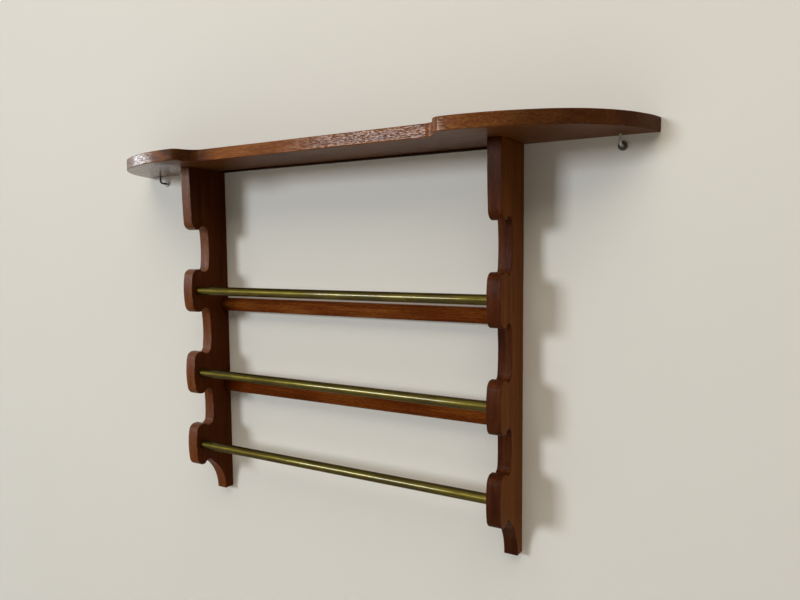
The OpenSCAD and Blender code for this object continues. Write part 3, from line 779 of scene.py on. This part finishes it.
# Patinated brass: long drawing lines, clouds of brown tarnish and small dark specks, under a thin
# clear lacquer that gives the pale streak of the window. Patterns: millimetres along and across,
# then detail and distortion.
brassLook = {
    "clean": (0.105, 0.082, 0.011), "olive": (0.065, 0.048, 0.005), "brown": (0.040, 0.025, 0.003),
    "rim": (0.45, 0.36, 0.12), "roughness": 0.33, "roughShares": (0.14, 0.10, 0.2),
    "lacquer": 0.20, "lacquerIor": 2.0, "lacquerRoughness": 0.08,
    "cloud": (38, 9, 4, 0.4), "fine": (60, 0.5, 2, 0), "speck": (2.6, 1.8, 4, 0.5),
    "shifts": ((1, 4, 2), (2, 0, 5), (7, 1, 3)),
    "cloudEnds": (0.36, 0.62), "speckEnds": (0.60, 0.74), "darkEnds": (0.60, 0.42),
    "darkShare": 0.7, "darkMatt": 0.35, "bumpShares": (0.6, 0.3), "bump": 0.12, "bumpDepth": 0.15,
}


def brassFinish(name, look):
    g = Graph(bpy.data.materials.new(name))
    cloud, fine, speck = [g.grain(0, look[word], shift)
                          for word, shift in zip(("cloud", "fine", "speck"), look["shifts"])]
    colour = g.mix(g.ramp(cloud, look["cloudEnds"]), look["olive"], look["clean"])
    dark = g.ramp(speck, look["speckEnds"]) * g.ramp(cloud, look["darkEnds"])
    colour = g.mix(look["darkShare"] * dark, colour, look["brown"])
    parts = look["roughShares"]
    roughness = look["roughness"] + parts[0] * (1 - cloud) + parts[1] * (fine - noiseMiddle)
    roughness = roughness + parts[2] * dark
    return g.finish({"Base Color": colour, "Roughness": roughness,
                     "Metallic": 1 - look["darkMatt"] * dark,
                     "Specular Tint": (*look["rim"], 1), "Coat Weight": look["lacquer"],
                     "Coat IOR": look["lacquerIor"], "Coat Roughness": look["lacquerRoughness"]},
                    look["bumpShares"][0] * fine + look["bumpShares"][1] * speck,
                    look["bump"], look["bumpDepth"])


# Bent wire: two greys in clouds, and rust-brown flecks. Patterns: size in millimetres and detail.
wireLook = {
    "cloud": (5, 3), "cloudShift": (4, 4, 4), "cloudEnds": (0.35, 0.65), "cloudRough": 0.2,
    "speck": (0.9, 3), "speckShift": (1, 2, 3), "speckEnds": (0.62, 0.75), "speckShare": 0.8,
    "bump": 0.15, "bumpDepth": 0.2,
}
darkWireLook = dict(wireLook, bright=(0.10, 0.10, 0.10), dull=(0.045, 0.044, 0.043),
                    rust=(0.06, 0.03, 0.015), roughness=0.42, metallic=0.9)
paleWireLook = dict(wireLook, bright=(0.62, 0.60, 0.57), dull=(0.42, 0.40, 0.38),
                    rust=(0.20, 0.14, 0.09), roughness=0.38, metallic=0.3)


def wireFinish(name, look):
    g = Graph(bpy.data.materials.new(name))
    cloud = g.haze(look["cloud"], look["cloudShift"])
    speck = g.haze(look["speck"], look["speckShift"])
    colour = g.mix(g.ramp(cloud, look["cloudEnds"]), look["dull"], look["bright"])
    colour = g.mix(look["speckShare"] * g.ramp(speck, look["speckEnds"]), colour, look["rust"])
    roughness = look["roughness"] + look["cloudRough"] * (cloud - noiseMiddle)
    return g.finish({"Base Color": colour, "Roughness": roughness, "Metallic": look["metallic"]},
                    speck, look["bump"], look["bumpDepth"])


# Wall plugs: moulded plastic, pale on the left of the rack and dark grey on its right.
plugLook = {
    "left": (0.50, 0.47, 0.42), "right": (0.060, 0.058, 0.056), "dust": (0.20, 0.18, 0.16),
    "middleEnds": (-0.001, 0.001), "cloud": (2.5, 3), "cloudShift": (0, 1, 0), "dustShare": 0.35,
    "roughness": 0.5, "cloudRough": 0.2, "bump": 0.2, "bumpDepth": 0.2,
}


def plugFinish(name, look):
    g = Graph(bpy.data.materials.new(name))
    cloud = g.haze(look["cloud"], look["cloudShift"])
    colour = g.mix(g.ramp(g.coordinate(0), look["middleEnds"]), look["left"], look["right"])
    colour = g.mix(look["dustShare"] * cloud, colour, look["dust"])
    return g.finish({"Base Color": colour, "Roughness": look["roughness"] + look["cloudRough"] * cloud},
                    cloud, look["bump"], look["bumpDepth"])


# A plain stage surface: a colour with the faintest clouding, a fine skin and no gloss. With
# seeThrough it is clear from behind, and to light that leaves a face lying against it, so the
# rack's back shows from there and is lit.
stageLook = {"cloud": (420, 3), "cloudShare": 0.5, "cloudShade": 0.95, "skin": (9, 4), "bump": 0.12,
             "bumpDepth": 1.0}


def stageFinish(name, colour, look, seeThrough=False):
    g = Graph(bpy.data.materials.new(name))
    cloud, skin = [g.haze(look[word], (0, 0, 0)) for word in ("cloud", "skin")]
    tint = g.mix(look["cloudShare"] * cloud, colour, tuple(look["cloudShade"] * c for c in colour))
    bump = g.add("ShaderNodeBump", {}, {"Strength": look["bump"], "Distance": look["bumpDepth"] * mm,
                                        "Height": skin})
    shader = g.add("ShaderNodeBsdfDiffuse", {}, {"Color": tint, "Normal": bump})
    if seeThrough:
        clear = g.add("ShaderNodeBsdfTransparent", {}, {})
        behind = g.add("ShaderNodeNewGeometry", output="Backfacing")
        path = g.add("ShaderNodeLightPath", output="Ray Length")
        camera = Wire(g, path.socket.node.outputs["Is Camera Ray"])
        near = g.sum("LESS_THAN", path, room["lightGap"]) * (1 - camera)
        both = g.sum("MAXIMUM", behind, near)
        shader = g.add("ShaderNodeMixShader", {}, {0: both, 1: shader, 2: clear})
    g.add("ShaderNodeOutputMaterial", {}, {"Surface": shader}, output=None)
    return g.owner


# Dresses a piece or a CAD node in a finish.
def dress(piece, material):
    piece.data.materials.clear()
    piece.data.materials.append(material)


# Each board has its own axis for the grain, and its patterns start elsewhere and lean a little.
shelfWood = woodFinish("varnished_shelf_wood", 0, shelfLook, (0.3, 0.1, 0.7), (0, 0, 1.2), pinShare=0.8)
leftWood = woodFinish("varnished_left_upright_wood", 2, leftLook, (1.3, 2.1, 0.4), (0.8, 0, 0))
rightWood = woodFinish("varnished_right_upright_wood", 2, rightLook, (4.1, 0.6, 2.2), (-0.9, 0, 0))
railWood = woodFinish("varnished_rail_wood", 0, railLook, (2.2, 3.4, 1.5), (0, 0.6, 0))
paintedShadeLathWood = woodFinish("dark_lath_wood", 0, paintedShadeLathLook, (5, 1, 2))
dowelAlongX = woodFinish("rail_dowel_wood", 0, dowelLook, (1, 1, 1))
dowelAlongZ = woodFinish("shelf_dowel_wood", 2, dowelLook, (2, 1, 1))
brass = brassFinish("patinated_brass", brassLook)
darkWire = wireFinish("dark_bent_wire", darkWireLook)
paleWire = wireFinish("pale_bent_wire", paleWireLook)
plugPlastic = plugFinish("moulded_plug_plastic", plugLook)

# Each piece's finish, the node that it stands for, its body, and the record's slot that it takes.
standFor = {
    "shelf": (shelfWood, "shelf_board", "rack", "shelf_wood"),
    "left": (leftWood, "left_upright", "rack", "frame_wood"),
    "right": (rightWood, "right_upright", "rack", "frame_wood"),
    "upper": (railWood, "upper_back_rail", "rack", "frame_wood"),
    "lower": (railWood, "lower_back_rail", "rack", "frame_wood"),
    "strip": (paintedShadeLathWood, "wall_strip", "rack", "dark_lath"),
    "leftHook": (darkWire, "left_wall_hook", "rack", "hook_steel"),
    "rightHook": (paleWire, "right_wall_hook", "rack", "hook_steel"),
    "upperRod": (brass, "upper_rod", "upper_rod", "rod_brass"),
    "middleRod": (brass, "middle_rod", "middle_rod", "rod_brass"),
    "lowerRod": (brass, "lower_rod", "lower_rod", "rod_brass"),
}
for word, (material, node, body, slot) in standFor.items():
    dress(pieces[word], material)
    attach(pieces[word], body)
    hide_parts(node)
dress(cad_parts["wall_plugs"], plugPlastic)
dress(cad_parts["shelf_dowels"], dowelAlongZ)
dress(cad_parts["rail_dowels"], dowelAlongX)
print("finishes made")


# A flat stage surface: four corners in metres, listed so that its face points into the room.
def stagePlane(name, corners, material):
    mesh = bpy.data.meshes.new(name)
    mesh.from_pydata(corners, [], [(0, 1, 2, 3)])
    mesh.materials.append(material)
    plane = bpy.data.objects.new(name, mesh)
    bpy.context.scene.collection.objects.link(plane)


far, gap, drop, top = (room[k] for k in ("wallReach", "wallGap", "floorDrop", "wallTop"))
stagePlane("pale_wall", [(-far, gap, -drop), (far, gap, -drop), (far, gap, top), (-far, gap, top)],
           stageFinish("pale_wall_paint", room["wallColour"], stageLook, seeThrough=True))
stagePlane("pale_floor",
           [(-far, -far, -drop), (far, -far, -drop), (far, far, -drop), (-far, far, -drop)],
           stageFinish("pale_floor_paint", room["floorColour"], stageLook))


# A rectangular lamp that faces the rack and that the camera doesn't see. Unless it lights, it shows
# only as a reflection.
def lamp(name, place, size, power, colour, lights):
    light = bpy.data.lights.new(name, "AREA")
    light.shape = "RECTANGLE"
    light.size, light.size_y = size
    light.energy = power
    light.color = colour
    holder = bpy.data.objects.new(name, light)
    bpy.context.scene.collection.objects.link(holder)
    aim = Vector(room["aim"]) - Vector(place)
    holder.matrix_world = Matrix.Translation(place) @ aim.to_track_quat("-Z", "Y").to_matrix().to_4x4()
    holder.visible_camera = False
    holder.visible_diffuse = lights


for name, values in room["lamps"].items():
    lamp(name, *values)

# The sky: a warm even glow on the rack, and a pale backdrop for what looks past it.
sky = bpy.data.worlds.new("even_glow")
g = Graph(sky)
path = g.add("ShaderNodeLightPath", output="Is Camera Ray").socket.node.outputs
seen = g.sum("MAXIMUM", Wire(g, path["Is Camera Ray"]),
             g.sum("MAXIMUM", Wire(g, path["Is Glossy Ray"]), Wire(g, path["Is Transmission Ray"])))
tint = g.mix(seen, room["glow"], room["backdrop"])
glow = g.add("ShaderNodeBackground", {}, {"Color": tint})
g.add("ShaderNodeOutputWorld", {}, {"Surface": glow}, output=None)
bpy.context.scene.world = sky
bpy.context.scene.view_settings.view_transform = "Standard"

# The camera looks along its forward line; its right and up lines are square to it and then rolled.
yaw, pitch, roll = (math.radians(cameraFit[k]) for k in ("yaw", "pitch", "roll"))
forward = Vector((-math.sin(yaw) * math.cos(pitch), math.cos(yaw) * math.cos(pitch), math.sin(pitch)))
right = forward.cross(Vector((0, 0, 1))).normalized()
up = right.cross(forward)
rolledRight = math.cos(roll) * right + math.sin(roll) * up
rolledUp = math.cos(roll) * up - math.sin(roll) * right
lens = bpy.data.cameras.new("photo_camera")
lens.sensor_fit = "HORIZONTAL"
lens.sensor_width = cameraFit["sensor"]
lens.lens = cameraFit["sensor"] * (cameraFit["focalPixels"] / cameraFit["widthPixels"])
lens.clip_start = cameraFit["nearClip"]
camera = bpy.data.objects.new("photo_camera", lens)
bpy.context.scene.collection.objects.link(camera)
turned = Matrix((rolledRight, rolledUp, -forward)).transposed().to_4x4()
camera.matrix_world = Matrix.Translation(cameraFit["place"]) @ turned
bpy.context.scene.camera = camera
print("room, lamps and camera made")
